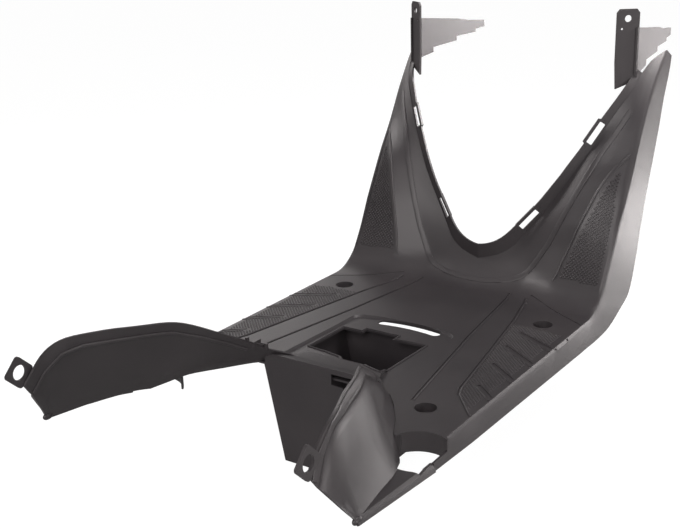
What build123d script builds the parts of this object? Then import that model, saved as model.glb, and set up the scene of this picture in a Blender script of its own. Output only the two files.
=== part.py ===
"""Scooter floorboard: one injection moulding that runs from two upright arms
beside the steering tunnel, over the flat foot deck and the battery well, to
two side fairings that rise at the rear.

Frame, in millimetres: X to the rider's right, Y forward, Z up. The deck's top
face is Z = 0, the body is symmetric about X = 0 except for the rim of the
battery opening, and the two front screws are 5 mm behind Y = 0. The right
half is modelled and mirrored.
"""

import os
from math import cos, hypot, radians, sin

from build123d import *

# Moulding
WALL = 2.6
EDGE_ROUND = 5.0
CREASE_ROUND = 7.0

# Line where deck and arm meet, and the bend up into the arms
SEAM = 3.0
BEND_START = 38.0
BEND_RADIUS = 60.0
ARM_SLOPE = 57.4

# Deck
DECK_REAR = -300.0
DECK_END = -535.0
RIB_HEIGHT = 9.0
RIB_THICKNESS = 1.8

# Tray and battery well
TRAY_DEPTH = 3.0
TRAY_DRAFT = 45.0
TRAY_CORNER = 14.0
WELL_DEPTH = 130.0
WELL_FRONT = -118.0
WELL_REAR = -292.0
WELL_HALF_TOP = 86.0
WELL_HALF_BOTTOM = 60.0
REAR_SILL_FRONT = -236.0
REAR_SILL_HEIGHT = 12.0
TRAY_SLOT_HEIGHT = 15.0

# Fastening points
FRONT_SCREW = (159.0, -5.0)
REAR_SCREW = (151.0, DECK_REAR)
SCREW_CUP_RADIUS = 13.0
SCREW_CUP_DEPTH = 11.0
SCREW_HOLE_RADIUS = 4.5
CORNER_HOLE_RADIUS = 36.0
CORNER_HOLE_ROOM = 55.0
CORNER_SLEEVE_DEPTH = 24.0
CORNER_SLEEVE_LENGTH = 17.0
LEDGE_DROP = 12.0
LEDGE_LENGTH = 100.0
FAIRING_LEAD = 18.0
SHOULDER_BULGE = 2.0
REAR_TAB_CENTRE = (192.0, DECK_END - 44, 73.0)
REAR_TAB_WIDTH = 28.0
REAR_TAB_HOLE_RADIUS = 8.7
TAB_THICKNESS = 3.0
TOP_PLATE_HOLE = (169.0, 226.5, 375.0)
TOP_PLATE_TURN = 36.2
TOP_PLATE_HOLE_RADIUS = 4.8
FINGER_ROOT = (181.0, 231.0)
FINGER_TURN = 95.9
LIP_DROP = 0.7
LIP_SLOT_PLACES = (4.35, 9.8)
LIP_SLOT_LENGTH = 34.0
LIP_SLOT_WIDTH = 8.5
TAB_PROUD = 0.4

# Engraving
GROOVE_WIDTH = 2.2
GROOVE_DEPTH = 1.0
PANEL_DEPTH = 0.8
FLANGE_GROOVE_WIDTH = 3.6
FLANGE_GROOVE_DEPTH = 1.4


def fairing_y(place):
    """Station of the fairing, from 0 beside the well to 1 at the ledge."""
    front = WELL_REAR - FAIRING_LEAD
    return front + place * (DECK_END + LEDGE_LENGTH - front)


CORNER_HOLE = (190.0, fairing_y(0.6))


def parallel(points, distance):
    """Points moved to the left of the direction of travel, corners mitred."""
    moved = []
    last = len(points) - 1
    for index, here in enumerate(points):
        before = points[max(index - 1, 0)]
        after = points[min(index + 1, last)]
        normals = []
        for start, end in ((before, here), (here, after)):
            length = hypot(end[0] - start[0], end[1] - start[1])
            if length > 0:
                normals.append(((start[1] - end[1]) / length, (end[0] - start[0]) / length))
        mean_x = sum(normal[0] for normal in normals) / len(normals)
        mean_y = sum(normal[1] for normal in normals) / len(normals)
        reach = distance / (mean_x**2 + mean_y**2)
        moved.append((here[0] + mean_x * reach, here[1] + mean_y * reach))
    return moved


def rounded(before, corner, after, size):
    """Three points that round a corner, each leg cut back by size."""
    start = toward(corner, before, size)
    end = toward(corner, after, size)
    middle = tuple(0.25 * s + 0.5 * c + 0.25 * e for s, c, e in zip(start, corner, end))
    return [start, middle, end]


def toward(start, end, distance):
    """The point at a distance from start on the line to end."""
    length = hypot(end[0] - start[0], end[1] - start[1])
    share = min(distance / length, 0.45)
    return tuple(s + (e - s) * share for s, e in zip(start, end))


def band(points, width):
    """Outline of a strip of some width along a line of points."""
    return parallel(points, width / 2) + parallel(points, -width / 2)[::-1]


def bend_plane(angle):
    """Section plane in the bend, turned by an angle from the flat deck.

    Its x runs outwards and its y runs down into the moulding.
    """
    turn = radians(angle)
    origin = (0, BEND_START + BEND_RADIUS * sin(turn), BEND_RADIUS * (1 - cos(turn)))
    return Plane(origin, x_dir=(1, 0, 0), z_dir=(0, cos(turn), sin(turn)))


def arm_plane(run):
    """Section plane at a distance up the straight arm from the bend."""
    return bend_plane(ARM_SLOPE).offset(run)


def arm_point(x, run, depth):
    """Point of the arm: out from the middle, up the arm and below its edge line."""
    return arm_plane(0).from_local_coords((x, depth, run))


def deck_plane(y):
    """Section plane across the flat deck."""
    return Plane((0, y, 0), x_dir=(1, 0, 0), z_dir=(0, 1, 0))


# Sections of the arm, up from the deck. Each point is a distance from the
# middle and a depth below the line of the outer edge: tunnel side, foot of
# the tunnel wall, crease, crown, outer edge and skirt.
FLAT_SECTION = ((-20, 0), (38, 0), (76, 0), (121, 0), (205, 0), (211, 33))
SKIN_SECTIONS = (
    *[(deck_plane(SEAM + step), *FLAT_SECTION) for step in (0, 1, 3, 7, 14, 24)],
    (bend_plane(0), (-20, 0.1), (38, 0.1), (76, 0.1), (122, 0), (205, 0), (211, 33.5)),
    (bend_plane(10), (-20, 1.3), (38, 1.3), (76, 1.1), (125, 0.4), (205, 0), (211, 35)),
    (bend_plane(20), (-20, 4.2), (38, 4.2), (76, 3.6), (127, 1.2), (205, 0), (211, 39)),
    (bend_plane(38), (-20, 12.5), (38, 12.4), (76, 10.5), (128, 3.6), (205, 0), (211, 52)),
    (bend_plane(ARM_SLOPE), (-20, 16.8), (38, 17.2), (78, 19.0), (130, 5.0), (204, 0), (211, 74)),
    (arm_plane(13), (-20, 18), (42, 18.5), (82, 20.0), (133, 3.5), (204, 0), (211, 83)),
    (arm_plane(26), (-20, 18), (48, 18.5), (89, 17.6), (136, 1.4), (204, 0), (211, 86)),
    (arm_plane(52), (14, 17), (58, 15.5), (104.6, 10.0), (144, -3.6), (204.5, -1), (211, 83)),
    (arm_plane(79), (34, 14), (75, 10.5), (115.7, 1.0), (152, -10.9), (205, -2.8), (211, 77)),
    (arm_plane(105), (54, 9), (93, 4.5), (126, -6.6), (161, -14.6), (205, -3.4), (211, 69)),
    (arm_plane(132), (73, 1), (110.5, -3), (136.5, -12), (170, -17.9), (205, -4), (211, 62)),
    (arm_plane(163), (92, -8), (127, -10.5), (148.8, -17), (182, -15.5), (205, -4.3), (211, 55)),
    (arm_plane(194), (110, -14), (143, -15.5), (161.4, -19.2), (193, -9.5), (204, -4), (211, 50)),
    (arm_plane(222), (124, -18), (155, -19.5), (174, -18.4), (194, -9), (203, -5), (211, 45)),
    (arm_plane(258), (142, -23), (172, -23), (188, -17.2), (196, -10.5), (203, -6), (211, 38)),
    (arm_plane(292), (158, -25), (183, -21), (193, -14), (198, -9), (203.5, -4), (210, 32)),
    (arm_plane(322), (172, -20), (189, -15), (195, -10), (199, -5), (204, -1), (210, 28)),
    (arm_plane(350), (184, -12), (193, -6), (197, -2), (200, 2), (204, 6), (209, 25)),
    (arm_plane(376), (192, -2), (197, 5), (200, 8), (203, 12), (206, 16), (209, 30)),
)

# Foot of the tunnel opening's lip and its free edge, in arm coordinates
LIP_FOOT = (
    (-30, 28, 18),
    (0, 18, 18),
    (30, 28, 18),
    (53, 46, 16.3),
    (69.5, 71, 12),
    (86, 95, 6.8),
    (101.2, 117.5, 1),
    (115.6, 141.5, -5.3),
    (128.3, 165.5, -10.9),
    (141.3, 191, -15),
    (153.5, 217.5, -18.9),
    (166.5, 245.5, -21.9),
    (178, 271, -22.5),
    (184, 291, -20.6),
    (187.5, 312, -17),
)
LIP_EDGE = (
    (-23, 42, 4.5),
    (0, 35.3, 4.5),
    (23, 42, 4.5),
    (43, 57.3, 1.7),
    (60, 79, -1.5),
    (77, 101.5, -5.2),
    (92, 123, -10.6),
    (106, 146.3, -14.9),
    (119, 171, -18.9),
    (132, 196.4, -22),
    (144, 221, -25.9),
    (157, 248.4, -27.9),
    (169, 275.3, -28.5),
    (175, 294, -26),
    (179, 316, -22.5),
)
ARM_TIP = ((193, 333), (204, 361), (216, 354))


def skin_line(foot_side, foot, crease, crown, edge, skirt):
    """The visible line of one section, from the tunnel side to the skirt."""
    return [
        foot_side,
        foot,
        *rounded(foot, crease, crown, CREASE_ROUND),
        crown,
        *rounded(crown, edge, skirt, EDGE_ROUND),
        skirt,
    ]


def section_face(plane, outline):
    """Flat face with one corner for each point, collinear ones too."""
    corners = [plane.from_local_coords((x, y, 0)) for x, y in outline]
    return Face(Wire.make_polygon(corners, close=True))


def skin_layer(above, below):
    """Right half of the arm and bend, between two depths off its face."""
    faces = []
    for plane, *corners in SKIN_SECTIONS:
        line = skin_line(*corners)
        outline = parallel(line, -above) + parallel(line, below)[::-1]
        faces.append(section_face(plane, outline))
    with BuildPart() as layer:
        loft(faces)
    return layer.part


def plan_prism(points, low, high):
    """Upright prism over a plan outline."""
    with BuildPart() as prism:
        with BuildSketch(Plane.XY.offset(low)):
            with BuildLine():
                Polyline(*points, close=True)
            make_face()
        extrude(amount=high - low)
    return prism.part


def arm_prism(points, low, high):
    """Prism square to the arm over an outline of (x, run), between two depths."""
    turn = radians(ARM_SLOPE)
    face = Plane(arm_point(0, 0, high), x_dir=(1, 0, 0), z_dir=(0, -sin(turn), cos(turn)))
    with BuildPart() as prism:
        with BuildSketch(face):
            with BuildLine():
                Polyline(*points, close=True)
            make_face()
        extrude(amount=high - low)
    return prism.part


def lip_frame(place):
    """Foot, edge and downward normal of the lip at a place along it."""
    index = min(int(place), len(LIP_FOOT) - 2)
    share = place - index
    feet = [Vector(*arm_point(*point)) for point in LIP_FOOT[index : index + 2]]
    edges = [Vector(*arm_point(*point)) for point in LIP_EDGE[index : index + 2]]
    foot = feet[0] + (feet[1] - feet[0]) * share
    edge = edges[0] + (edges[1] - edges[0]) * share
    along = (edges[1] - edges[0]).normalized()
    return foot, edge, along


def lip():
    """Turned-up lip round the tunnel opening, its foot just under the skin."""
    feet = [Vector(*arm_point(x, run, depth + LIP_DROP)) for x, run, depth in LIP_FOOT]
    edges = [Vector(*arm_point(*point)) for point in LIP_EDGE]
    last = len(feet) - 1
    faces = []
    for index, (foot, edge) in enumerate(zip(feet, edges)):
        along = edges[min(index + 1, last)] - edges[max(index - 1, 0)]
        across = edge - foot
        down = along.cross(across).normalized() * -WALL
        root = foot - across.normalized() * (0.7 * WALL)
        corners = [root, edge, edge + down, root + down]
        faces.append(Face(Wire.make_polygon(corners, close=True)))
    with BuildPart() as ribbon:
        loft(faces)
    return ribbon.part


def lip_tab_plane(place):
    """Plane on the lip, x along its edge and y out past the free edge."""
    foot, edge, along = lip_frame(place)
    across = edge - foot
    return Plane((foot + edge) * 0.5, x_dir=along, z_dir=along.cross(across).normalized())


# Sections of the flat deck, and of the ledge that starts a step lower in the
# corner hole and rises to the rear tip
DECK_SECTIONS = (
    (deck_plane(SEAM), *FLAT_SECTION),
    (deck_plane(DECK_REAR), *FLAT_SECTION[:5], (211, 27)),
    (deck_plane(CORNER_HOLE[1]), *FLAT_SECTION[:4], (206, 0), (212, 22)),
)
LEDGE_SECTIONS = (
    (deck_plane(CORNER_HOLE[1]), *[(x, LEDGE_DROP) for x in (-20, 38, 76, 121, 208)], (213, 23)),
    (deck_plane(DECK_END), *FLAT_SECTION[:4], (213, 0), (216, 7)),
)

# Foot of the side fairing, where it stands on the deck
FAIRING_FOOT = (
    (99, WELL_REAR),
    (115, fairing_y(0)),
    (136, fairing_y(0.24)),
    (152, fairing_y(0.48)),
    (178, fairing_y(0.72)),
    (192, fairing_y(1)),
    (199, DECK_END + 65),
    (206, DECK_END + 34),
    (213, DECK_END),
)


def upright_plane(y, lean=0.0):
    """Section plane of the fairing, its y pointing up or leaning back."""
    turn = radians(lean)
    return Plane((0, y, -WALL), x_dir=(1, 0, 0), z_dir=(0, -cos(turn), -sin(turn)))


# Sections of the side fairing: foot, swell, shoulder and top of its flange,
# each a distance from the middle and a height above the underside of the deck.
# Past the corner hole the foot goes down to the ledge.
FAIRING_SECTIONS = (
    (upright_plane(WELL_REAR + 30), (68, 0), (65, 2), (61, 4), (58, 7)),
    (upright_plane(WELL_REAR + 12), (88, 0), (81, 5), (74, 12), (70, 17)),
    (upright_plane(fairing_y(0)), (117, 0), (104, 9), (91, 26), (86, 34)),
    (upright_plane(fairing_y(0.24)), (138, 0), (121, 13), (105, 43), (99, 53)),
    (upright_plane(fairing_y(0.48)), (154, 0), (136, 17), (118, 59), (111, 71)),
    (upright_plane(fairing_y(0.72)), (180, -10.8), (158, 17), (136, 72), (129, 85)),
    (upright_plane(fairing_y(1)), (194, -8), (178, 16), (152, 76), (146, 90)),
    (upright_plane(DECK_END + 65), (201, -5.2), (190, 16), (165, 80), (160, 95)),
    (upright_plane(DECK_END + 34), (208, -2.7), (198, 18), (177, 83), (174, 97)),
    (upright_plane(DECK_END + 13, 4), (212, -1), (204, 19), (184, 81), (184, 96)),
    (upright_plane(DECK_END + 4, 17), (213, 0), (205, 19), (190, 68), (188, 86)),
    (upright_plane(DECK_END, 35), (213.5, 0), (206, 18), (194, 54), (192, 72)),
)

# Tray in the deck, right half, and the whole stepped rim of the opening in it
TRAY = ((0, -86), (45, -88), (78, -96), (79, -150), (85, -268))
WELL_OPENING = (
    (-68, -141),
    (-38, -141),
    (-38, -131),
    (10, -131),
    (10, -143),
    (57, -141),
    (54, -243),
    (38, -237),
    (20, -229),
    (-10, -229),
    (-18, -222),
    (-46, -217),
    (-70, -215),
)
WALL_WINDOW = ((16, 7), (16, -7), (32, -8), (43, -24), (54, -14), (58, 7))


def fairing():
    """Right rear fairing, with a groove between its shoulder and its flange."""
    faces = []
    for plane, *corners in FAIRING_SECTIONS:
        foot, swell, shoulder, top = corners
        bulge = parallel([swell, toward(shoulder, swell, 9.0), top], -SHOULDER_BULGE)[1]
        groove = [
            toward(shoulder, swell, FLANGE_GROOVE_WIDTH / 2),
            parallel([swell, shoulder, top], FLANGE_GROOVE_DEPTH)[1],
            toward(shoulder, top, FLANGE_GROOVE_WIDTH / 2),
        ]
        line = [foot, swell, bulge, *groove, top]
        faces.append(section_face(plane, line + parallel(corners, WALL)[::-1]))
    with BuildPart() as shell:
        loft(faces)
    return shell.part


def deck():
    """Right half of the flat deck with its skirt, cut back to the fairing."""
    with BuildPart() as plate:
        for sections in (DECK_SECTIONS, LEDGE_SECTIONS):
            faces = []
            for plane, *corners in sections:
                line = skin_line(*corners)
                faces.append(section_face(plane, line + parallel(line, WALL)[::-1]))
            loft(faces, ruled=True)
        behind = [*FAIRING_FOOT, (213, DECK_END - 20), (-40, DECK_END - 20), (-40, WELL_REAR)]
        add(plan_prism(behind, -60, 30), mode=Mode.SUBTRACT)
    return plate.part


def well_block(inset):
    """Tapered block of the battery well, drawn in by some distance."""
    with BuildPart() as block:
        for height, half in ((-WALL / 2, WELL_HALF_TOP), (-WELL_DEPTH, WELL_HALF_BOTTOM)):
            lift = inset if height < -WALL else 0
            with BuildSketch(Plane.XY.offset(height + lift)):
                with Locations((0, (WELL_FRONT + WELL_REAR) / 2)):
                    Rectangle(2 * (half - inset), WELL_FRONT - WELL_REAR - 2 * inset)
        loft()
    return block.part


def tunnel_opening():
    """Cutter that trims the arm to the lip and to the slanted tip."""
    foot = [(x, run) for x, run, depth in LIP_FOOT]
    return arm_prism([*foot, *ARM_TIP, (216, 420), (-30, 420)], -70, 70)


def lip_tabs(cut):
    """Slotted tabs on the lip: their plates, or the cutters of their slots."""
    with BuildPart() as tabs:
        for place in LIP_SLOT_PLACES:
            with BuildSketch(lip_tab_plane(place).offset(8 if cut else TAB_PROUD)):
                if cut:
                    with Locations((0, 0.6)):
                        RectangleRounded(LIP_SLOT_LENGTH, LIP_SLOT_WIDTH, 1.2)
                else:
                    with BuildLine():
                        Polyline((-23, 1), (-19, 9.5), (19, 9.5), (23, 1), close=True)
                    make_face()
            extrude(amount=-16 if cut else -WALL - 2 * TAB_PROUD)
    return tabs.part


def top_bracket():
    """Fixing plate at the top of the arm and the finger that runs forward."""
    turn = radians(TOP_PLATE_TURN)
    x, y, z = TOP_PLATE_HOLE
    face = Plane((x, y, z), x_dir=(cos(turn), sin(turn), 0), z_dir=(sin(turn), -cos(turn), 0))
    swing = radians(FINGER_TURN)
    side = Plane(
        (*FINGER_ROOT, 0),
        x_dir=(cos(swing), sin(swing), 0),
        z_dir=(sin(swing), -cos(swing), 0),
    )
    plate = ((-14, -97), (-16, -60), (-16, 8), (-12, 13), (12, 13), (16, 8), (16, -84), (4, -90))
    web = (
        (0, 296),
        (0, 363),
        (60, 356),
        (125, 349),
        (160, 343),
        (204, 339),
        (204, 328),
        (178, 327),
        (178, 322),
        (122, 321),
        (122, 314),
        (57, 311),
        (57, 303),
    )
    with BuildPart() as bracket:
        with BuildSketch(face):
            with BuildLine():
                Polyline(*plate, close=True)
            make_face()
            Circle(TOP_PLATE_HOLE_RADIUS, mode=Mode.SUBTRACT)
            with Locations((-8, -14)):
                Circle(1.6, mode=Mode.SUBTRACT)
        extrude(amount=TAB_THICKNESS / 2, both=True)
        with BuildSketch(side):
            with BuildLine():
                Polyline(*web, close=True)
            make_face()
        extrude(amount=TAB_THICKNESS / 2, both=True)
    return bracket.part


def rear_tab():
    """Square fixing tab at the rear end of the fairing, standing on a corner."""
    with BuildPart() as tab:
        with BuildSketch(Plane(REAR_TAB_CENTRE, x_dir=(0, 1, 0), z_dir=(1, 0, 0))):
            RectangleRounded(REAR_TAB_WIDTH, REAR_TAB_WIDTH, 4, rotation=45)
            Circle(REAR_TAB_HOLE_RADIUS, mode=Mode.SUBTRACT)
        extrude(amount=TAB_THICKNESS / 2, both=True)
    return tab.part


def corner_sleeve():
    """Wall that hangs from the deck round the front of the corner hole."""
    with BuildPart() as sleeve:
        with Locations((*CORNER_HOLE, -0.5)):
            Cylinder(
                CORNER_HOLE_RADIUS + WALL,
                CORNER_SLEEVE_DEPTH,
                align=(Align.CENTER, Align.CENTER, Align.MAX),
            )
            Cylinder(CORNER_HOLE_RADIUS, 200, mode=Mode.SUBTRACT)
        front = CORNER_HOLE[1] + CORNER_HOLE_ROOM
        rear = CORNER_HOLE[1] + CORNER_HOLE_RADIUS - CORNER_SLEEVE_LENGTH
        kept = ((120, rear), (209, rear), (209, front), (120, front))
        add(plan_prism(kept, -60, 10), mode=Mode.INTERSECT)
    return sleeve.part


def cut_corner_hole():
    """Cutter of the corner hole, clear of the fairing's wall and the skirt's rim."""
    front = CORNER_HOLE[1] + CORNER_HOLE_ROOM
    rear = CORNER_HOLE[1] - CORNER_HOLE_ROOM
    inside = ((120, front), (205.5, front), (205.5, rear), (120, rear))
    with BuildPart() as cutter:
        with Locations((*CORNER_HOLE, 5)):
            Cylinder(CORNER_HOLE_RADIUS, 50, align=(Align.CENTER, Align.CENTER, Align.MAX))
        above = plan_prism(((120, front), (240, front), (240, rear), (120, rear)), -14, 10)
        add([above, plan_prism(inside, -60, -14)], mode=Mode.INTERSECT)
        behind = [*FAIRING_FOOT, (60, DECK_END), (60, WELL_REAR)]
        add(plan_prism(behind, -60, 60), mode=Mode.SUBTRACT)
    return cutter.part


# Engraved lines on the deck in plan, and the grip panel on the arm
DECK_LINES = (
    ((100, 66), (118, -8), (138, -116), (159, -234), (166, -252), (203, -296)),
    ((71, 76), (92, -84), (127, -290)),
    ((104, 75), (203, 18)),
)
EDGE_LINES = (
    ((146, -45), (214, -81)),
    ((149, -94), (214, -138)),
    ((160, -152), (214, -192)),
    ((174, -216), (214, -250)),
)
ARM_PANEL = (
    (130, 4),
    (134.8, 13.5),
    (138, 26.5),
    (146, 53),
    (154, 80),
    (163, 106),
    (172, 133),
    (184, 164),
    (198, 190),
    (199, -4),
)


def upright_lines():
    """Upright strips over the long engraved lines."""
    with BuildPart() as lines:
        for line in DECK_LINES:
            add(plan_prism(band(line, GROOVE_WIDTH), -8, 60))
    return lines.part


def arm_engraving():
    """Cutter of the lines in the bend and of the arm's grip panel."""
    with BuildPart() as lines:
        add(upright_lines())
        add(skin_layer(1.5, GROOVE_DEPTH), mode=Mode.INTERSECT)
    with BuildPart() as panel:
        add(arm_prism(ARM_PANEL, -60, 60))
        add(skin_layer(1.5, PANEL_DEPTH), mode=Mode.INTERSECT)
        add(lines.part)
    return panel.part


def deck_engraving():
    """Cutter of the lines in the flat deck."""
    with BuildPart() as lines:
        add(upright_lines())
        for line in EDGE_LINES:
            add(plan_prism(band(line, 2 * GROOVE_WIDTH), -8, 60))
        flat = ((-20, SEAM), (230, SEAM), (230, -320), (-20, -320))
        add(plan_prism(flat, -GROOVE_DEPTH, 5), mode=Mode.INTERSECT)
    return lines.part


def ribs():
    """Stiffening ribs under the deck, right half."""
    half = RIB_THICKNESS / 2
    with BuildPart() as grid:
        for y in (-30, -66):
            outline = ((-20, y - half), (-20, y + half), (206, y + half), (206, y - half))
            add(plan_prism(outline, -RIB_HEIGHT - 2, -2))
        outline = ((118 - half, -284), (118 - half, -10), (118 + half, -10), (118 + half, -284))
        add(plan_prism(outline, -RIB_HEIGHT - 2, -2))
    return grid.part


def screw_cups(radius, top, depth):
    """Cylinders at the two deck screws, from a height down to a depth."""
    with BuildPart() as cups:
        with Locations((*FRONT_SCREW, top), (*REAR_SCREW, top)):
            Cylinder(radius, top + depth, align=(Align.CENTER, Align.CENTER, Align.MAX))
    return cups.part


def tray_block(depth, top=0.0, outset=0.0, draft=0.0):
    """Block over the whole tray outline, from a height down to a depth."""
    whole = [*TRAY, *[(-x, y) for x, y in TRAY[:0:-1]]]
    with BuildPart() as block:
        with BuildSketch(Plane((0, 0, top), x_dir=(1, 0, 0), z_dir=(0, 0, -1))) as sketch:
            with BuildLine():
                Polyline(*[(x, -y) for x, y in whole], close=True)
            make_face()
            corners = [v for v in sketch.vertices() if abs(v.X) in (TRAY[2][0], TRAY[4][0])]
            fillet(corners, TRAY_CORNER)
            if outset:
                offset(amount=outset)
        extrude(amount=top + depth, taper=draft)
    return block.part


def rear_sill(drop, half):
    """Ramp behind the battery opening, or the hollow under it."""
    top = (
        (REAR_SILL_FRONT, 0),
        (-262, 3.5),
        (-282, REAR_SILL_HEIGHT - 1.5),
        (-289, REAR_SILL_HEIGHT),
        (WELL_REAR, REAR_SILL_HEIGHT - 2),
    )
    front = REAR_SILL_FRONT - drop
    rear = WELL_REAR + drop
    profile = [(front, -7), *[(max(y, rear), z - drop) for y, z in top[:4]], (rear, -7)]
    if not drop:
        profile = [(front, -4), *top, (WELL_REAR, -4)]
    turned = Plane((-half, 0, 0), x_dir=(0, 1, 0), z_dir=(1, 0, 0))
    side = [(x - 2 * drop, y) for x, y in ((60, -250), (68, -266), (80, -284), (85, rear - 1))]
    side = [(side[0][0] - 2, -230), *side]
    outline = [*side, *[(-x, y) for x, y in side[::-1]]]
    with BuildPart() as sill:
        with BuildSketch(turned):
            with BuildLine():
                Polyline(*profile, close=True)
            make_face()
        extrude(amount=2 * half)
        add(plan_prism(outline, -20, 20), mode=Mode.INTERSECT)
    return sill.part


def wall_window():
    """Cutter of the window at the top of the well's rear wall."""
    face = Plane((0, WELL_REAR - 5, 0), x_dir=(1, 0, 0), z_dir=(0, -1, 0))
    with BuildPart() as cutter:
        with BuildSketch(face):
            with BuildLine():
                Polyline(*WALL_WINDOW, close=True)
            make_face()
        extrude(amount=-5 - WALL - 2)
    return cutter.part


def tray_slot():
    """Cutter of the curved slot in the front of the tray."""
    with BuildPart() as cutter:
        with BuildSketch(Plane.XY.offset(-20)):
            SlotArc(ThreePointArc((-32, -98), (8, -94), (48, -98)), TRAY_SLOT_HEIGHT)
        extrude(amount=30)
    return cutter.part


def arm_half():
    """Arm, bend, lip and top bracket, right half."""
    with BuildPart() as arm:
        add(skin_layer(0, WALL))
        add(tunnel_opening(), mode=Mode.SUBTRACT)
        add(lip())
        add(lip_tabs(False))
        add(lip_tabs(True), mode=Mode.SUBTRACT)
        add(top_bracket())
        add(arm_engraving(), mode=Mode.SUBTRACT)
    return arm.part


def deck_half():
    """Deck with its tray and well, fairing, sleeve and ribs, right half."""
    under_floor = -TRAY_DEPTH - WALL
    with BuildPart() as hollow:
        add(well_block(WALL))
        room = ((-200, 0), (200, 0), (200, -400), (-200, -400))
        add(plan_prism(room, -200, under_floor), mode=Mode.INTERSECT)
    with BuildPart() as well:
        add(well_block(0))
        add(tray_block(TRAY_DEPTH + WALL, top=-WALL / 2, outset=1.0))
        add(rear_sill(0.0, 90))
        add(hollow.part, mode=Mode.SUBTRACT)
        add(rear_sill(WALL, 70), mode=Mode.SUBTRACT)
    with BuildPart() as half:
        add(deck())
        add(fairing())
        add(rear_tab())
        add(corner_sleeve())
        add(cut_corner_hole(), mode=Mode.SUBTRACT)
        add(ribs())
        add(well.part)
        add(tray_block(TRAY_DEPTH, draft=TRAY_DRAFT), mode=Mode.SUBTRACT)
        add(hollow.part, mode=Mode.SUBTRACT)
        add(deck_engraving(), mode=Mode.SUBTRACT)
    return half.part


left_of_middle = plan_prism(((0, -900), (0, 900), (-400, 900), (-400, -900)), -500, 900)

with BuildPart() as floorboard:
    add(arm_half())
    add(deck_half())
    add(screw_cups(SCREW_CUP_RADIUS + WALL, -WALL / 2, SCREW_CUP_DEPTH + WALL))
    add(screw_cups(SCREW_CUP_RADIUS, 5, SCREW_CUP_DEPTH), mode=Mode.SUBTRACT)
    add(screw_cups(SCREW_HOLE_RADIUS, 5, 40), mode=Mode.SUBTRACT)
    add(left_of_middle, mode=Mode.SUBTRACT)
    mirror(about=Plane.YZ)
    add(plan_prism(WELL_OPENING, -12, 3), mode=Mode.SUBTRACT)
    add(tray_slot(), mode=Mode.SUBTRACT)
    add(wall_window(), mode=Mode.SUBTRACT)

floorboard.part.label = "floorboard"
print(floorboard.part.volume, floorboard.part.is_valid, len(floorboard.part.solids()))

os.makedirs("parts", exist_ok=True)
export_step(floorboard.part, "parts/floorboard.step")
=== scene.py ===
"""Scooter floorboard in dark satin plastic, with its moulded grip texture.

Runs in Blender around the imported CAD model, in metres: X to the rider's
right, Y forward, Z up, the deck's top face at Z = 0. Places and sizes of the
added pieces are given in millimetres.
"""

from math import cos, radians, sin

import bmesh
import bpy
from mathutils import Matrix, Vector
from mathutils.bvhtree import BVHTree


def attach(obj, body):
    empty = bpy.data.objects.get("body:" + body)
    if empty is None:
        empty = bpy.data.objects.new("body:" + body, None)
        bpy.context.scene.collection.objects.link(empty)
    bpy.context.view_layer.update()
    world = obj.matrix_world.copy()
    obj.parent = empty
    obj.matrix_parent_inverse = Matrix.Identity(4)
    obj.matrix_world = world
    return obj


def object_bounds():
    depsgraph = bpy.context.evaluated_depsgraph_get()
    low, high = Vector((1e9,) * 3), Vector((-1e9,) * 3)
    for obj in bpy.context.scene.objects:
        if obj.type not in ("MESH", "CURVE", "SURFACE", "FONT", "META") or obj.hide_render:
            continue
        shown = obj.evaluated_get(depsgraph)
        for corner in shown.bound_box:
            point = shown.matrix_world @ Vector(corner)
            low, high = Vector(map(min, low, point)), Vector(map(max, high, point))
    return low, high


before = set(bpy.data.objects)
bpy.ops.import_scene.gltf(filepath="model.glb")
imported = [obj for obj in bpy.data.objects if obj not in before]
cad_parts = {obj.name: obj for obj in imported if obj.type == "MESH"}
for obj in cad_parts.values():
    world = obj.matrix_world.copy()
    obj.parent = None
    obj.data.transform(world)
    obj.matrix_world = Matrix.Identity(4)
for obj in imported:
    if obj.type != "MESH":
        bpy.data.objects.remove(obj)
cad_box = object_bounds()

MM = 0.001

# Camera at the photo's place, in metres, degrees and pixels
PHOTO_WIDTH = 680
FOCAL_PIXELS = 1111.0
SENSOR_WIDTH = 36.0
CAMERA_PLACE = (0.724, -1.281, 0.556)
CAMERA_AZIMUTH = 34.9
CAMERA_DOWN = 18.7
CAMERA_ROLL = -1.8
CAMERA_REACH = 50

# Plastic, as linear colours, with a mottle and a fine grain in metres
PLASTIC = (0.034, 0.030, 0.032)
PLASTIC_DARK = (0.026, 0.023, 0.025)
PLASTIC_ROUGHNESS = 0.44
GLOSSIER, DULLER = 0.04, 0.06
MOTTLE_SCALE = 9.0
MOTTLE_DETAIL = 3.0
MOTTLE_FROM, MOTTLE_TO = 0.35, 0.65
GRAIN_SIZE = 0.0011
GRAIN_DETAIL = 2.0
GRAIN_DEPTH = 0.0003
GRAIN_STRENGTH = 0.35

# Shading: angles in degrees below which edges look smooth, weld in metres
BODY_SMOOTH = 32
LINES_SMOOTH = 40
WELD_DISTANCE = 0.00001
FACE_WEIGHT = 80

# Floor and world
FLOOR_DROP = 0.02
FLOOR_REACH = 12.0
FLOOR_GREY = 0.42
FLOOR_ROUGHNESS = 0.9
GLOW_STRENGTH = 1.34
GLOW_SHARE = 0.72
WORLD_LEVEL = 0.15

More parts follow.
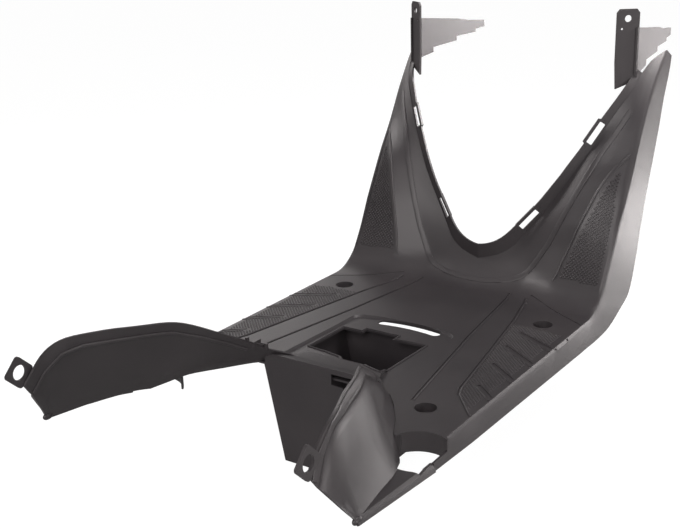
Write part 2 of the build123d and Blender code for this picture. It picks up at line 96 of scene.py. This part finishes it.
# Lamps: name, place, aim, width, height, power and angle of the beam
LAMP_COLOUR = (1.0, 0.955, 0.945)
MIDDLE = (0.0, -0.1, 0.05)
LAMPS = (
    ("front_right", (0.85, 2.0, 0.1), (0.2, 0.2, 0.15), 1.2, 0.5, 8, 180),
    ("near_right", (0.7, 0.85, 0.0), (0.2, 0.2, 0.1), 0.3, 0.3, 1.7, 180),
    ("side_right", (2.3, -0.2, 0.35), MIDDLE, 1.0, 0.6, 17, 180),
    ("front_left", (-1.6, 1.25, 0.8), (-0.1, -0.2, 0.0), 0.8, 0.8, 6, 180),
    ("top_right", (0.9, 0.3, 2.1), MIDDLE, 1.0, 1.0, 29, 180),
    ("left_arm", (0.6, 0.55, 0.78), (-0.16, 0.24, 0.24), 0.3, 0.3, 0.8, 26),
    ("right_arm", (-0.9, 0.1, 0.8), (0.11, 0.24, 0.22), 0.3, 0.3, 0.5, 40),
    ("rear", (0.5, -2.3, 1.3), MIDDLE, 1.4, 1.4, 50, 180),
    ("left_finger", (0.1, 1.0, 0.31), (-0.15, 0.38, 0.37), 0.2, 0.2, 0.13, 30),
    ("low_right", (0.42, 0.68, -0.06), (0.2, 0.24, 0.08), 0.2, 0.2, 0.09, 48),
)

# The arm's face: its slope, where it starts, and where rays on it start above it
ARM_SLOPE = radians(57.4)
ARM_START = Vector((0.0, 88.55, 27.67))
ARM_LIFT = 80

# Starts of the other rays: above the deck, outside and between the fairings
DECK_LIFT = 60
OUTSIDE = 400
BETWEEN = 20

DOWN = Vector((0, 0, -1))
IN = Vector((-1, 0, 0))
OUT = Vector((1, 0, 0))
INTO_ARM = Vector((0, sin(ARM_SLOPE), -cos(ARM_SLOPE)))

# Grip texture: pitch, height and foot of its diamonds, the half width of foot
# and head as shares of the pitch, and how far a ray may go, in metres
GRIP_PITCH = 5.4
GRIP_HEIGHT = 0.95
GRIP_SINK = 0.35
FOOT_SHARE = 0.46
HEAD_SHARE = 0.20
RAY_REACH = 0.12
FACES_SIDEWAYS = 0.9

# Grip field on the deck, the engraved lines that it keeps clear of, and the
# front screw cup
DECK_FIELD = (
    (124, -24),
    (138, -110),
    (161, -234),
    (168, -250),
    (195, -284),
    (195.5, -30),
    (170, -24),
)
EDGE_LINES = (
    ((146, -45), (214, -81)),
    ((149, -94), (214, -138)),
    ((160, -152), (214, -192)),
    ((174, -216), (214, -250)),
)
INNER_LINE = ((100, 66), (118, -8), (138, -116), (159, -234), (166, -252), (203, -296))
FRONT_SCREW = ((159, -5), (159, -5.1))
EDGE_LINE_GAP = 4.6
INNER_LINE_GAP = 4.0
SCREW_GAP = 20

# Grip field on the arm, as distance out and distance up the arm
ARM_FIELD = (
    (131, 6),
    (136, 14),
    (139.5, 27),
    (147.5, 54),
    (155.5, 81),
    (164.5, 107),
    (173.5, 134),
    (185, 163),
    (195, 180),
    (197, 0),
)
ARM_FIELD_GAP = 2.6

# Raised lines: step along the path, how deep their foot sits, and the width
# and height of each kind
PATH_STEP = 5.0
BEAD_SINK = 0.8
FLANGE_SIZE = (9.0, 1.5)
SHOULDER_SIZE = (4.5, 2.0)
INNER_SIZE = (2.4, 0.8)
LONG_SIZE = (2.0, 0.6)
EDGE_SIZE = (4.0, 1.1)
RIDGE_SIZE = (8.0, 1.2)
PANEL_SIZE = (3.0, 1.3)
RIM_SIZE = (2.6, 1.4)

# Lines of the fairing, in the side view
FLANGE_LINE = (
    (-300, 24.5),
    (-310, 29),
    (-340, 46.5),
    (-370, 63),
    (-400, 77),
    (-435, 82),
    (-470, 86),
    (-501, 88.5),
    (-528, 86),
    (-541, 79.5),
    (-553.5, 71),
    (-563, 60),
    (-570, 50),
)
SHOULDER_LINE = (
    (-316, 25),
    (-340, 39),
    (-370, 55),
    (-400, 68),
    (-435, 72.5),
    (-470, 76.5),
    (-501, 79.5),
    (-527, 77),
    (-548, 62),
    (-563, 42),
)

# Lines of the deck, in plan
EDGE_BEADS = (
    ((148, -52), (203, -82.5)),
    ((151, -101), (203, -137)),
    ((162, -159), (203, -191)),
    ((176, -223), (203, -247)),
)
INNER_BEAD = ((103, 66), (121, -8), (141, -116), (162, -234), (168, -250), (203, -292))
LONG_BEAD = ((74, 76), (95, -84), (130, -290))
OPENING_RIM = (
    (-70.5, -138.5),
    (-40.5, -138.5),
    (-40.5, -128.5),
    (12.5, -128.5),
    (12.5, -140.5),
    (59.5, -138.5),
    (56.5, -247),
    (37, -240.5),
    (19, -232),
    (-11, -232),
    (-19, -225),
    (-47, -220),
    (-72.5, -217.5),
    (-70.5, -138.5),
)

# Lines of the arm, as distance out and distance up the arm
RIDGE_BEAD = (
    (0, -15),
    (22, -14),
    (45, -10),
    (64, -4),
    (76, 4),
    (84, 14),
    (91, 26),
    (105.5, 52),
    (116.5, 79),
    (127, 105),
    (137.5, 132),
    (150, 163),
    (162, 194),
    (174, 222),
    (186, 254),
)
PANEL_BEAD = (
    (127, 1),
    (131.5, 13),
    (134.5, 26),
    (142.5, 53),
    (150.5, 80),
    (159.5, 107),
    (168.5, 134),
    (181, 166),
    (196, 194),
)

# Small parts: studs on the deck, the rounded tail ends, and the clips on the
# left flange as centre and size
ROUND_SEGMENTS = 20
STUD_X, STUD_Y = 106, 55
STUD_RADIUS = 3.0
STUD_HEIGHT = 1.2
STUD_TAPER = 0.7
TAIL_NOSE = (211.6, -532, -4)
TAIL_NOSE_SIZE = (3.4, 7, 4.2)
NOSE_RINGS = 12
CLIP_BLOCKS = (
    ((-85.5, -306, 30.5), (4, 14, 8)),
    ((-90, -317, 37), (3.5, 4, 9)),
    ((-80, -297, 25.5), (10, 3.5, 7)),
)


def material(name):
    """New Principled material and its shader."""
    made = bpy.data.materials.new(name)
    made.use_nodes = True
    return made, made.node_tree.nodes["Principled BSDF"]


def plastic(name):
    """Satin moulded plastic: a faint mottle in colour and gloss, and a fine grain."""
    made, shader = material(name)
    tree = made.node_tree
    place = tree.nodes.new("ShaderNodeTexCoord")
    mottle = tree.nodes.new("ShaderNodeTexNoise")
    mottle.inputs["Scale"].default_value = MOTTLE_SCALE
    mottle.inputs["Detail"].default_value = MOTTLE_DETAIL
    tree.links.new(place.outputs["Object"], mottle.inputs["Vector"])
    ramp = tree.nodes.new("ShaderNodeValToRGB")
    ramp.color_ramp.elements[0].position = MOTTLE_FROM
    ramp.color_ramp.elements[0].color = (*PLASTIC_DARK, 1)
    ramp.color_ramp.elements[1].position = MOTTLE_TO
    ramp.color_ramp.elements[1].color = (*PLASTIC, 1)
    tree.links.new(mottle.outputs["Fac"], ramp.inputs["Fac"])
    tree.links.new(ramp.outputs["Color"], shader.inputs["Base Color"])
    gloss = tree.nodes.new("ShaderNodeMapRange")
    gloss.inputs["To Min"].default_value = PLASTIC_ROUGHNESS - GLOSSIER
    gloss.inputs["To Max"].default_value = PLASTIC_ROUGHNESS + DULLER
    tree.links.new(mottle.outputs["Fac"], gloss.inputs["Value"])
    tree.links.new(gloss.outputs["Result"], shader.inputs["Roughness"])
    fine = tree.nodes.new("ShaderNodeTexNoise")
    fine.inputs["Scale"].default_value = 1 / GRAIN_SIZE
    fine.inputs["Detail"].default_value = GRAIN_DETAIL
    tree.links.new(place.outputs["Object"], fine.inputs["Vector"])
    bump = tree.nodes.new("ShaderNodeBump")
    bump.inputs["Strength"].default_value = GRAIN_STRENGTH
    bump.inputs["Distance"].default_value = GRAIN_DEPTH
    tree.links.new(fine.outputs["Fac"], bump.inputs["Height"])
    tree.links.new(bump.outputs["Normal"], shader.inputs["Normal"])
    return made


def smooth_by_angle(piece, angle):
    """Smooth shading across edges flatter than an angle, flat faces kept flat."""
    weld = piece.modifiers.new("weld", "WELD")
    weld.merge_threshold = WELD_DISTANCE
    piece.data.polygons.foreach_set("use_smooth", [True] * len(piece.data.polygons))
    edges = piece.modifiers.new("edges", "EDGE_SPLIT")
    edges.split_angle = radians(angle)
    edges.use_edge_sharp = False
    weighted = piece.modifiers.new("weighted", "WEIGHTED_NORMAL")
    weighted.weight = FACE_WEIGHT


def surface_of(piece):
    """Search tree over the mesh of a piece, for rays."""
    points = [vertex.co.copy() for vertex in piece.data.vertices]
    faces = [tuple(polygon.vertices) for polygon in piece.data.polygons]
    return BVHTree.FromPolygons(points, faces)


def arm_place(x, run):
    """Point well above the arm's face, from its distance out and up the arm."""
    up = Vector((0, cos(ARM_SLOPE), sin(ARM_SLOPE)))
    return ARM_START + Vector((x, 0, 0)) + up * run - INTO_ARM * ARM_LIFT


def deck_place(x, y):
    """Point above the deck."""
    return Vector((x, y, DECK_LIFT))


def from_outside(y, z):
    """Point far to the right of a fairing, from its place in the side view."""
    return Vector((OUTSIDE, y, z))


def from_inside(y, z):
    """Point between the fairings, from its place in the side view."""
    return Vector((BETWEEN, y, z))


def inside(outline, x, y):
    """Whether a point is inside a flat outline."""
    found = False
    for (ax, ay), (bx, by) in zip(outline, outline[1:] + outline[:1]):
        if (ay > y) != (by > y) and x < ax + (y - ay) * (bx - ax) / (by - ay):
            found = not found
    return found


def near_line(line, x, y, gap):
    """Whether a point is within a gap of a line of points."""
    here = Vector((x, y))
    for start, end in zip(line, line[1:]):
        a, b = Vector(start), Vector(end)
        share = max(0.0, min(1.0, (here - a).dot(b - a) / (b - a).length_squared))
        if (here - (a + (b - a) * share)).length < gap:
            return True
    return False


def field_points(outline, clear):
    """Staggered places inside an outline, clear of some lines by their gaps."""
    xs = [x for x, y in outline]
    ys = [y for x, y in outline]
    rows = int((max(ys) - min(ys)) / (GRIP_PITCH / 2)) + 1
    columns = int((max(xs) - min(xs)) / GRIP_PITCH) + 2
    for row in range(rows):
        for column in range(columns):
            x = min(xs) + (column + 0.5 * (row % 2)) * GRIP_PITCH
            y = min(ys) + row * GRIP_PITCH / 2
            if not inside(outline, x, y):
                continue
            if not any(near_line(line, x, y, gap) for line, gap in clear):
                yield x, y


def grip(mesh, outline, clear, lift, way):
    """Diamonds on both sides of the board, over an outline.

    The lines to keep clear of come with their gaps. The lift turns a place in
    the outline into a point above the surface, and the way points back to it.
    """
    for x, y in field_points(outline, clear):
        for side in (1, -1):
            start = lift(x, y)
            start.x *= side
            spot, normal, _, distance = surface.ray_cast(start * MM, way)
            if spot is not None and distance <= RAY_REACH:
                diamond(mesh, spot, normal if normal.dot(way) < 0 else -normal)


def diamond(mesh, spot, normal):
    """A small four-sided pyramid with a flat top, sunk a little in the surface."""
    if abs(normal.x) > FACES_SIDEWAYS:
        across = normal.orthogonal().normalized()
    else:
        across = Vector((1, 0, 0))
    across = (across - normal * across.dot(normal)).normalized()
    along = normal.cross(across)
    foot = spot - normal * GRIP_SINK * MM
    head = spot + normal * GRIP_HEIGHT * MM
    low, high = FOOT_SHARE * GRIP_PITCH * MM, HEAD_SHARE * GRIP_PITCH * MM
    turns = ((1, 0), (0, 1), (-1, 0), (0, -1))
    base = [mesh.verts.new(foot + across * low * a + along * low * b) for a, b in turns]
    top = [mesh.verts.new(head + across * high * a + along * high * b) for a, b in turns]
    for i in range(4):
        j = (i + 1) % 4
        mesh.faces.new((base[i], base[j], top[j], top[i]))
    mesh.faces.new(top)
    mesh.faces.new(base[::-1])


def walk(line, step):
    """Points along a line of points, about a step apart."""
    found = []
    for start, end in zip(line, line[1:]):
        a, b = Vector(start), Vector(end)
        count = max(1, round((b - a).length / step))
        found += [a + (b - a) * (i / count) for i in range(count)]
    return found + [Vector(line[-1])]


def laid(line, lift, way, side=1):
    """Points and normals of the surface under a flat line."""
    found = []
    for x, y in walk(line, PATH_STEP):
        start, turned = lift(x, y), way.copy()
        start.x *= side
        turned.x *= side
        spot, normal, _, _ = surface.ray_cast(start * MM, turned)
        if spot is not None:
            found.append((spot, normal if normal.dot(turned) < 0 else -normal))
    return found


def bead(mesh, path, size):
    """Raised bar along a path of points and normals, its top edges broken."""
    width, height = size
    half, cut = width / 2, min(height, width / 3)
    profile = (
        (-half, -BEAD_SINK),
        (-half, 0.5 * height),
        (cut - half, height),
        (half - cut, height),
        (half, 0.5 * height),
        (half, -BEAD_SINK),
    )
    rows = []
    for index, (spot, normal) in enumerate(path):
        before = path[max(index - 1, 0)][0]
        after = path[min(index + 1, len(path) - 1)][0]
        across = (after - before).cross(normal).normalized()
        rows.append([mesh.verts.new(spot + (across * u + normal * v) * MM) for u, v in profile])
    for first, second in zip(rows, rows[1:]):
        for i in range(len(profile)):
            j = (i + 1) % len(profile)
            mesh.faces.new((first[i], first[j], second[j], second[i]))
    mesh.faces.new(rows[0][::-1])
    mesh.faces.new(rows[-1])


def placed(centre, size):
    """Matrix that sets a unit shape at a centre with its sizes."""
    scale = Matrix.Diagonal((*(Vector(size) * MM), 1))
    return Matrix.Translation(Vector(centre) * MM) @ scale


def stud(mesh, x, y):
    """Low round stud on the deck at a place in plan."""
    spot, normal, _, _ = surface.ray_cast(deck_place(x, y) * MM, DOWN)
    turn = normal.to_track_quat("Z", "Y").to_matrix().to_4x4()
    bmesh.ops.create_cone(
        mesh,
        cap_ends=True,
        segments=ROUND_SEGMENTS,
        radius1=STUD_RADIUS * MM,
        radius2=STUD_TAPER * STUD_RADIUS * MM,
        depth=2 * STUD_HEIGHT * MM,
        matrix=Matrix.Translation(spot) @ turn,
    )


def nose(mesh, centre, radii):
    """Rounded end, as an ellipsoid."""
    bmesh.ops.create_uvsphere(
        mesh,
        u_segments=ROUND_SEGMENTS,
        v_segments=NOSE_RINGS,
        radius=1.0,
        matrix=placed(centre, radii),
    )


def finish_piece(name, mesh, skin):
    """Mesh piece that moves with the floorboard."""
    bmesh.ops.recalc_face_normals(mesh, faces=mesh.faces)
    data = bpy.data.meshes.new(name)
    mesh.to_mesh(data)
    mesh.free()
    data.materials.append(skin)
    piece = bpy.data.objects.new(name, data)
    bpy.context.scene.collection.objects.link(piece)
    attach(piece, "root")
    return piece


def plain_floor(height):
    """Large white floor under the object, which keeps its shadow."""
    mesh = bpy.data.meshes.new("floor")
    reach = FLOOR_REACH
    corners = [(-reach, -reach), (reach, -reach), (reach, reach), (-reach, reach)]
    mesh.from_pydata([(x, y, height) for x, y in corners], [], [(0, 1, 2, 3)])
    made, shader = material("floor_white")
    tree = made.node_tree
    shader.inputs["Base Color"].default_value = (FLOOR_GREY, FLOOR_GREY, FLOOR_GREY, 1)
    shader.inputs["Roughness"].default_value = FLOOR_ROUGHNESS
    shader.inputs["Specular IOR Level"].default_value = 0.0
    glow = tree.nodes.new("ShaderNodeEmission")
    glow.inputs["Color"].default_value = (1, 1, 1, 1)
    glow.inputs["Strength"].default_value = GLOW_STRENGTH
    path = tree.nodes.new("ShaderNodeLightPath")
    share = tree.nodes.new("ShaderNodeMath")
    share.operation = "MULTIPLY"
    share.inputs[1].default_value = GLOW_SHARE
    tree.links.new(path.outputs["Is Camera Ray"], share.inputs[0])
    mix = tree.nodes.new("ShaderNodeMixShader")
    tree.links.new(share.outputs[0], mix.inputs["Fac"])
    tree.links.new(shader.outputs["BSDF"], mix.inputs[1])
    tree.links.new(glow.outputs["Emission"], mix.inputs[2])
    tree.links.new(mix.outputs["Shader"], tree.nodes["Material Output"].inputs["Surface"])
    mesh.materials.append(made)
    floor = bpy.data.objects.new("floor", mesh)
    bpy.context.scene.collection.objects.link(floor)


def studio_world():
    """White world for the camera and a dim one for the light."""
    world = bpy.data.worlds.new("studio")
    bpy.context.scene.world = world
    world.use_nodes = True
    tree = world.node_tree
    sky = tree.nodes["Background"]
    sky.inputs["Color"].default_value = (1, 1, 1, 1)
    path = tree.nodes.new("ShaderNodeLightPath")
    strength = tree.nodes.new("ShaderNodeMapRange")
    strength.inputs["To Min"].default_value = WORLD_LEVEL
    strength.inputs["To Max"].default_value = 1.0
    tree.links.new(path.outputs["Is Camera Ray"], strength.inputs["Value"])
    tree.links.new(strength.outputs["Result"], sky.inputs["Strength"])


def soft_lamp(name, place, aim, width, height, power, spread):
    """Area lamp at a place, turned to a point, with the angle of its beam."""
    lamp = bpy.data.lights.new(name, "AREA")
    lamp.shape = "RECTANGLE"
    lamp.size = width
    lamp.size_y = height
    lamp.energy = power
    lamp.color = LAMP_COLOUR
    lamp.spread = radians(spread)
    made = bpy.data.objects.new(name, lamp)
    made.location = place
    made.rotation_euler = (Vector(aim) - Vector(place)).to_track_quat("-Z", "Y").to_euler()
    bpy.context.scene.collection.objects.link(made)


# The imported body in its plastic
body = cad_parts["floorboard"]
moulding = plastic("moulding")
body.data.materials.clear()
body.data.materials.append(moulding)
surface = surface_of(body)
smooth_by_angle(body, BODY_SMOOTH)

# Grip texture on the deck and on the arms
deck_gaps = [(line, EDGE_LINE_GAP) for line in EDGE_LINES]
deck_gaps += [(INNER_LINE, INNER_LINE_GAP), (FRONT_SCREW, SCREW_GAP)]
arm_gaps = [(ARM_FIELD + ARM_FIELD[:1], ARM_FIELD_GAP)]
diamonds = bmesh.new()
grip(diamonds, DECK_FIELD, deck_gaps, deck_place, DOWN)
grip(diamonds, ARM_FIELD, arm_gaps, arm_place, INTO_ARM)
finish_piece("grip_texture", diamonds, moulding)

# Raised lines and small parts of the moulding
lines = bmesh.new()
for side in (1, -1):
    bead(lines, laid(FLANGE_LINE, from_outside, IN, side), FLANGE_SIZE)
    bead(lines, laid(SHOULDER_LINE, from_inside, OUT, side), SHOULDER_SIZE)
    nose(lines, (side * TAIL_NOSE[0], *TAIL_NOSE[1:]), TAIL_NOSE_SIZE)
    bead(lines, laid(INNER_BEAD, deck_place, DOWN, side), INNER_SIZE)
    bead(lines, laid(LONG_BEAD, deck_place, DOWN, side), LONG_SIZE)
    for line in EDGE_BEADS:
        bead(lines, laid(line, deck_place, DOWN, side), EDGE_SIZE)
    bead(lines, laid(RIDGE_BEAD, arm_place, INTO_ARM, side), RIDGE_SIZE)
    bead(lines, laid(PANEL_BEAD, arm_place, INTO_ARM, side), PANEL_SIZE)
    stud(lines, side * STUD_X, STUD_Y)
for centre, size in CLIP_BLOCKS:
    bmesh.ops.create_cube(lines, size=1.0, matrix=placed(centre, size))
for line in zip(OPENING_RIM, OPENING_RIM[1:]):
    bead(lines, laid(line, deck_place, DOWN), RIM_SIZE)
moulded_lines = finish_piece("moulded_lines", lines, moulding)
smooth_by_angle(moulded_lines, LINES_SMOOTH)

# Floor, world and lamps
plain_floor(cad_box[0][2] - FLOOR_DROP)
studio_world()
for lamp_row in LAMPS:
    soft_lamp(*lamp_row)

# Camera
azimuth, down, roll = radians(CAMERA_AZIMUTH), radians(CAMERA_DOWN), radians(CAMERA_ROLL)
forward = Vector((-sin(azimuth) * cos(down), cos(azimuth) * cos(down), -sin(down)))
level_right = Vector((cos(azimuth), sin(azimuth), 0))
level_up = level_right.cross(forward)
right = level_right * cos(roll) + level_up * sin(roll)
upward = level_up * cos(roll) - level_right * sin(roll)
lens = bpy.data.cameras.new("camera")
lens.sensor_width = SENSOR_WIDTH
lens.lens = FOCAL_PIXELS * SENSOR_WIDTH / PHOTO_WIDTH
lens.clip_end = CAMERA_REACH
camera = bpy.data.objects.new("camera", lens)
axes = Matrix((right, upward, -forward)).transposed()
camera.matrix_world = Matrix.Translation(CAMERA_PLACE) @ axes.to_4x4()
bpy.context.scene.collection.objects.link(camera)
bpy.context.scene.camera = camera
bpy.context.scene.view_settings.view_transform = "Standard"
